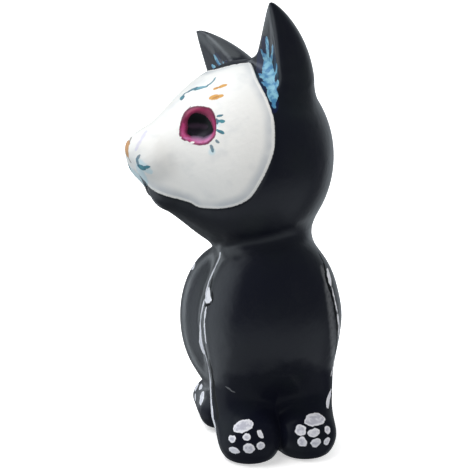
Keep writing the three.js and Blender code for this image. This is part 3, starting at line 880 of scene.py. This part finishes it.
def head_paint():
    paint = Paint("painted_head")
    place = paint.node("ShaderNodeTexCoord", {}).outputs["Object"]
    centre = [SHARE * part for part in HEAD_CENTRE]
    coords = paint.placed(place, centre, head_matrix().to_euler(), (SHARE,) * 3)
    sides = paint.mirrored(coords, 1)
    wavy = paint.shaken(sides, amount=0.5, scale=1.1)
    blots = paint.noise(coords, scale=0.8, detail=3.0)
    fine = paint.noise(coords, scale=2.6)
    wobble = paint.math("MULTIPLY_ADD", fine, EDGE_WOBBLE, -EDGE_WOBBLE / 2)
    paint.black_ground(coords)

    def brush(strokes, colour, thickness=0.5, strength=1.0, soft=0.07):
        """Strokes in one colour: how thick and how strong they are, and how far their edges run out."""
        reach = paint.reach(wavy, strokes, head_field)
        paint.lay(paint.step(reach, soft, -soft, to_high=strength), colour, thickness)

    # Painted highlights along the ear rims and the far ear's ridge
    brush(EAR_RIM_HIGHLIGHTS, EAR_HIGHLIGHT_GREY, thickness=0.2, strength=0.5, soft=0.9)
    brush(NAVY_EAR, NAVY)
    brush(SKY_EAR, paint.mix(paint.step(blots, 0.4, 0.62), SKY, SKY_DEEP))

    edge = paint.math("ADD", paint.attribute("face_edge"), wobble)
    # Painted shade in a band just inside the face's raised edge, in patches, with faint grey mottling all
    # over
    band = paint.math("MULTIPLY", paint.step(edge, -0.4, -0.8), paint.step(edge, -3.0, -0.9))
    patches = paint.step(paint.noise(coords, scale=0.14), 0.35, 0.65, to_low=0.4)
    clouds = paint.step(paint.noise(coords, scale=0.22), 0.5, 0.75, to_high=0.3)
    shade_and_mottle = paint.math("MAXIMUM", paint.math("MULTIPLY", band, patches), clouds)
    cover = paint.step(edge, 0.1, -0.06)
    paint.lay(cover, paint.mix(shade_and_mottle, FACE_WHITE, FACE_MOTTLE_AND_SHADE_GREY), rougher=0.1)
    stretched = paint.placed(coords, (0, 0, 0), FACE_MARKS_TURN, FACE_MARKS_STRETCH)
    marks = paint.math("MULTIPLY", paint.noise(stretched, scale=1.6, detail=3.0), cover)
    paint.height = paint.math("MULTIPLY_ADD", marks, FACE_MARKS_HEIGHT, paint.height)

    # Painted shade down the side of the nose bridge
    brush(NOSE_BRIDGE_SHADE, LAVENDER, thickness=0.1, strength=0.75, soft=0.25)
    brush(PALE_MOUTH + LASH_SHADES, PALE_BLUE, thickness=0.1, strength=0.7, soft=0.4)
    brush(ORANGE_PETALS, ORANGE, strength=0.95, soft=0.12)
    brush(ORANGE_VEINS, ORANGE_DEEP, thickness=0.1, strength=0.75, soft=0.2)
    teal = paint.mix(paint.step(blots, 0.35, 0.65), TEAL, TEAL_DEEP)
    brush(TEAL_LASHES + SCROLL + TEAL_LIP, teal, strength=0.95)
    brush(SKY_SCROLL, SKY, thickness=0.1, strength=0.6, soft=0.15)
    brush(GREY_LASHES + LIP_LINE, TEAL_DEEP, strength=0.8, soft=0.12)
    brush(LIP_SHADE, TEAL_DARK, strength=0.95, soft=0.15)
    brush(NOSE_TIP, OCHRE, strength=0.95, soft=0.15)
    brush(NOSE_EDGE, UMBER, strength=0.8, soft=0.2)

    ring = paint.math("ADD", paint.attribute("eye_ring"), wobble)
    inside = paint.math("ADD", paint.attribute("eye_inside"), wobble)
    # The ring is painted darker rose towards its top as painted shade, and lighter lilac low down as
    # painted light
    up = paint.node("ShaderNodeSeparateXYZ", {0: sides}).outputs[2]
    ring_low_highlight = paint.math("MULTIPLY", paint.step(up, 5.5, 1.8), paint.step(blots, 0.3, 0.6))
    pink = paint.mix(paint.step(up, 5, 8), paint.mix(ring_low_highlight, PINK, LILAC), ROSE)
    rims = paint.math("MAXIMUM", paint.step(ring, -0.7, -0.25), paint.step(inside, 0.6, 0.1))
    dark_rims = paint.math("MULTIPLY", rims, paint.step(blots, 0.25, 0.6, to_low=0.4, to_high=0.95))
    pink = paint.mix(dark_rims, pink, CRIMSON)
    paint.lay(paint.step(ring, 0.08, -0.12), pink, thickness=0.5)
    brush(EYE_LINE, CRIMSON, thickness=0.1, strength=0.7, soft=0.25)
    # Painted highlights in white on the lower edge of the eye's ring
    brush(EYE_RING_GLINTS, FACE_WHITE, soft=0.1)
    # Painted light: the eye's inside is lighter purple-grey low down, in patches
    lit_low_pupil = paint.math("MULTIPLY", paint.step(up, 5.4, 2.8), paint.step(blots, 0.3, 0.55))
    paint.lay(paint.step(inside, 0.1, -0.15), paint.mix(lit_low_pupil, PUPIL, PUPIL_LIT_LOW), rougher=0.55)
    # Painted reflection across the middle of the pupil
    brush(EYE_REFLECTION_STREAKS, PLUM, thickness=0.1, strength=0.4, soft=0.7)
    # Painted light: a soft lilac-grey haze low in the eye
    brush(EYE_LOW_GLARE, LILAC_GREY, thickness=0.1, strength=0.6, soft=0.6)
    return paint.finish()


def painted_cat():
    cat = bpy.data.objects.new("painted_cat", cast_mesh())
    bpy.context.scene.collection.objects.link(cat)
    cat.data.materials.append(body_paint())
    cat.data.materials.append(head_paint())
    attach(cat, "root")
    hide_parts("seated_cat")


# Stage, light and camera
FLOOR_HALF_WIDTH = 3.0
FLOOR_GAP = 0.00005  # metres from the floor up to the figure
FLOOR_WHITE = screen(232, 232, 232)
FLOOR_ROUGHNESS = 0.9
# The floor gives off light, and less of it below the figure, which makes its shadow
FLOOR_GLOW = 0.5  # nearer than FLOOR_NEAR to the shadow's middle
FLOOR_GLOW_AWAY = 1.0  # further than FLOOR_AWAY from it
FLOOR_MIDDLE = (-0.013, -0.012, 0)
FLOOR_NEAR = 0.024
FLOOR_AWAY = 0.042
ROOM_TINT = screen(238, 248, 255)
BOX_TINT = (1, 0.975, 0.95)
SURROUND = 0.15  # how bright the room is as a light
GLOW_EDGE = 18  # degrees over which a glow fades at its foot and at its top
GLOW_EDGE_EXTRA = 0.001  # keeps that fade from being nothing straight up and straight down
# Each glow: azimuth, how far to its sides it ends and is full, its foot and its top in degrees, brightness
GLOWS = (
    (-99, 40, 12, -32, 30, 1.0),
    (-152, 8, 2, -40, 40, 1.5),
    (142, 32, 14, -40, 25, 0.45),
    (-130, 60, 25, 55, 90, 2.2),
    (0, 95, 70, -44, -26, 0.32),
    (-60, 110, 40, -90, -62, 0.08),
)
# Each soft box: name, azimuth and elevation in degrees, distance, width and height in metres, watts
SOFT_BOXES = (
    ("top_box", -80, 60, 1.0, 0.6, 0.6, 6.0),
    ("front_box", -32, 4, 1.2, 0.5, 0.5, 2.8),
    ("fill_box", 38, 12, 1.2, 0.5, 0.5, 3.8),
    ("side_box", 100, 10, 1.2, 0.5, 0.5, 5.0),
)
VIEW_AZIMUTH = math.radians(-11.73)  # from straight in front of the chest, towards the cat's left
VIEW_ELEVATION = math.radians(15)
VIEW_DISTANCE = 0.4072
VIEW_TARGET = Vector((-0.00882, 0, 0.06277))
VIEW_WIDTH = 0.1401  # metres across the picture at the target
SENSOR_WIDTH = 36  # millimetres
CLIP_START = 0.01


def towards(azimuth, elevation):
    """The direction from the figure to something at that azimuth and elevation."""
    flat = math.cos(elevation)
    return Vector((math.sin(azimuth) * flat, -math.cos(azimuth) * flat, math.sin(elevation)))


def aimed(thing, place, target):
    thing.location = place
    thing.rotation_euler = (target - place).to_track_quat("-Z", "Y").to_euler()
    bpy.context.scene.collection.objects.link(thing)


def soft_light(name, azimuth, elevation, distance, width, height, watts):
    light = bpy.data.lights.new(name, "AREA")
    light.shape = "RECTANGLE"
    light.size = width
    light.size_y = height
    light.energy = watts
    light.color = BOX_TINT
    place = VIEW_TARGET + towards(math.radians(azimuth), math.radians(elevation)) * distance
    box = bpy.data.objects.new(name, light)
    box.visible_glossy = False
    aimed(box, place, VIEW_TARGET)


def glow(nodes, way, azimuth, ends, full, foot, top, brightness):
    """The brightness in a direction of one upright band of light round the figure."""
    flat = nodes.node("ShaderNodeVectorMath", {0: way, 1: (1, 1, 0)}, operation="MULTIPLY").outputs[0]
    flat = nodes.node("ShaderNodeVectorMath", {0: flat}, operation="NORMALIZE").outputs[0]
    up = nodes.node("ShaderNodeSeparateXYZ", {0: way}).outputs[2]
    aside = nodes.dotted(flat, towards(math.radians(azimuth), 0))
    ends, full = (math.cos(math.radians(angle)) for angle in (ends, full))
    heights = (foot - GLOW_EDGE, foot, top, top + GLOW_EDGE)
    low, foot, top, high = (math.sin(math.radians(max(-90, min(90, angle)))) for angle in heights)
    light = nodes.math("MULTIPLY", nodes.step(aside, ends, full), brightness)
    light = nodes.math("MULTIPLY", light, nodes.step(up, low - GLOW_EDGE_EXTRA, foot))
    return nodes.math("MULTIPLY", light, nodes.step(up, high + GLOW_EDGE_EXTRA, top))


def studio():
    """A white room to the camera, which as a light is dim with brighter bands, and the soft boxes."""
    world = bpy.data.worlds.new("studio")
    bpy.context.scene.world = world
    nodes = Nodes(world)
    way = nodes.node("ShaderNodeTexCoord", {}).outputs["Generated"]
    light = SURROUND
    for shape in GLOWS:
        light = nodes.math("ADD", light, glow(nodes, way, *shape))
    seen = nodes.node("ShaderNodeLightPath", {}).outputs["Is Camera Ray"]
    strength = nodes.math("MAXIMUM", light, seen)
    tint = nodes.mix(seen, ROOM_TINT, (1, 1, 1, 1))
    background = nodes.node("ShaderNodeBackground", {"Color": tint, "Strength": strength})
    nodes.node("ShaderNodeOutputWorld", {0: background.outputs[0]})
    for box in SOFT_BOXES:
        soft_light(*box)
    bpy.context.scene.view_settings.view_transform = "Standard"


def pale_floor():
    reach = FLOOR_HALF_WIDTH
    corners = [(x * reach, y * reach, -FLOOR_GAP) for x, y in ((-1, -1), (1, -1), (1, 1), (-1, 1))]
    mesh = bpy.data.meshes.new("floor")
    mesh.from_pydata(corners, [], [(0, 1, 2, 3)])
    floor = bpy.data.objects.new("floor", mesh)
    bpy.context.scene.collection.objects.link(floor)
    paint = Paint("pale_floor")
    place = paint.node("ShaderNodeTexCoord", {}).outputs["Object"]
    away = paint.distance(place, FLOOR_MIDDLE)
    inputs = {
        "Base Color": FLOOR_WHITE,
        "Roughness": FLOOR_ROUGHNESS,
        "Emission Color": (1, 1, 1, 1),
        "Emission Strength": paint.step(away, FLOOR_NEAR, FLOOR_AWAY, FLOOR_GLOW, FLOOR_GLOW_AWAY),
    }
    shader = paint.node("ShaderNodeBsdfPrincipled", inputs)
    paint.node("ShaderNodeOutputMaterial", {0: shader.outputs[0]})
    mesh.materials.append(paint.material)
    floor.visible_glossy = False
    floor.visible_diffuse = False


def photo_camera():
    camera = bpy.data.cameras.new("camera")
    camera.sensor_width = SENSOR_WIDTH
    camera.lens = SENSOR_WIDTH * VIEW_DISTANCE / VIEW_WIDTH
    camera.clip_start = CLIP_START
    holder = bpy.data.objects.new("camera", camera)
    aimed(holder, VIEW_TARGET + towards(VIEW_AZIMUTH, VIEW_ELEVATION) * VIEW_DISTANCE, VIEW_TARGET)
    bpy.context.scene.camera = holder


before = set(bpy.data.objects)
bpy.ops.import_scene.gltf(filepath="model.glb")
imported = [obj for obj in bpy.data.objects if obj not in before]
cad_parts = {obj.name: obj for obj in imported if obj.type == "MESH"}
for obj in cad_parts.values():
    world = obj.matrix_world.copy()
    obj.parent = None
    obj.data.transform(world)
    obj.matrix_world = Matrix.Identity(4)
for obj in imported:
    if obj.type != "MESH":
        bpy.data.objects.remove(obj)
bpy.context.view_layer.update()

photo_camera()
studio()
pale_floor()
painted_cat()
